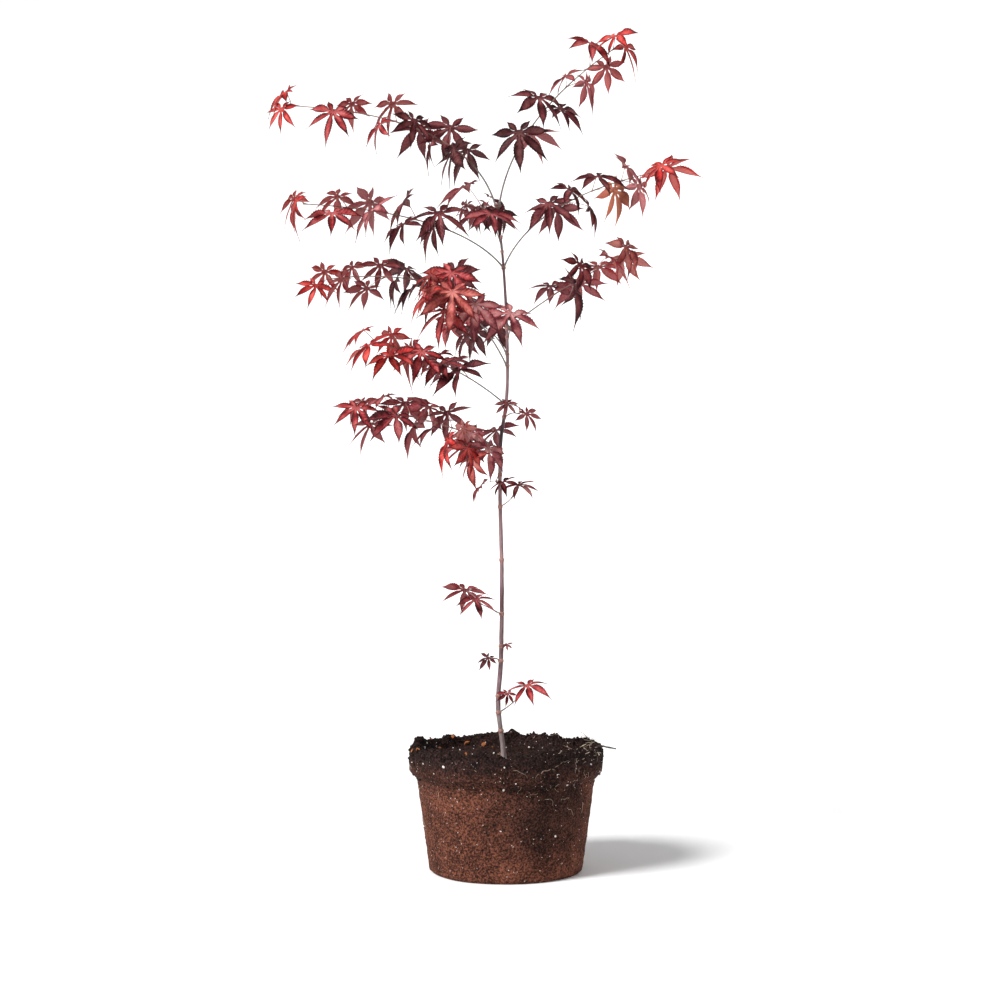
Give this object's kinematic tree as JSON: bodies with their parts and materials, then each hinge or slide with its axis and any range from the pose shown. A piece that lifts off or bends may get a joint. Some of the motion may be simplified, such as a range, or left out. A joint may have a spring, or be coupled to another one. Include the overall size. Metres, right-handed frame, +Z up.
{
  "type": "young japanese maple on its root ball",
  "caption": "Slender young Japanese maple with tiers of deeply cut red leaves, standing on a bare root ball that keeps the shape of its nursery pot.",
  "frame": {"origin": "centre of the root ball's flat underside", "axes": "+Z up along the trunk, +X to the right and -Y towards the viewer in the picture"},
  "size_m": [0.4889, 0.3292, 0.9032],
  "materials": {
    "root_mix": "crumbly peat mix",
    "bark": "smooth young bark",
    "shoot": "smooth shoot",
    "leaf_scarlet": "satin leaf",
    "leaf_crimson": "satin leaf",
    "leaf_rose": "satin leaf",
    "leaf_maroon": "satin leaf"
  },
  "bodies": {
    "root": {"root_ball": "root_mix", "trunk": "bark", "bough_top_left": "shoot", "bough_top_right": "shoot", "bough_upper_left": "shoot", "bough_upper_right": "shoot", "bough_middle_right": "shoot", "bough_middle_left": "shoot", "bough_front": "shoot", "bough_front_upper": "shoot", "bough_lower_left": "shoot", "bough_lowest_left": "shoot", "bough_low_front": "shoot", "bough_back_upper": "shoot", "bough_back_middle": "shoot", "bough_back_low": "shoot", "leaves_top_left": "leaf_crimson", "leaves_top_right": "leaf_crimson", "leaves_upper_left": "leaf_crimson", "leaves_upper_right": "leaf_crimson", "leaves_middle_right": "leaf_rose", "leaves_middle_left": "leaf_crimson", "leaves_front": "leaf_rose", "leaves_front_upper": "leaf_maroon", "leaves_lower_left": "leaf_scarlet", "leaves_lowest_left": "leaf_crimson", "leaves_low_front": "leaf_rose", "leaves_back_upper": "leaf_maroon", "leaves_back_middle": "leaf_maroon", "leaves_back_low": "leaf_maroon", "sprig_right": "leaf_crimson", "sprig_knee": "leaf_maroon", "sprig_shoulder": "leaf_maroon", "sprig_elbow": "leaf_crimson", "sprig_side": "leaf_crimson", "sprig_low_left": "leaf_maroon", "sprig_bud": "leaf_crimson", "sprig_leaf_left": "leaf_maroon", "sprig_leaf_right": "leaf_scarlet", "sprig_foot": "leaf_scarlet"}
  },
  "joints": []
}
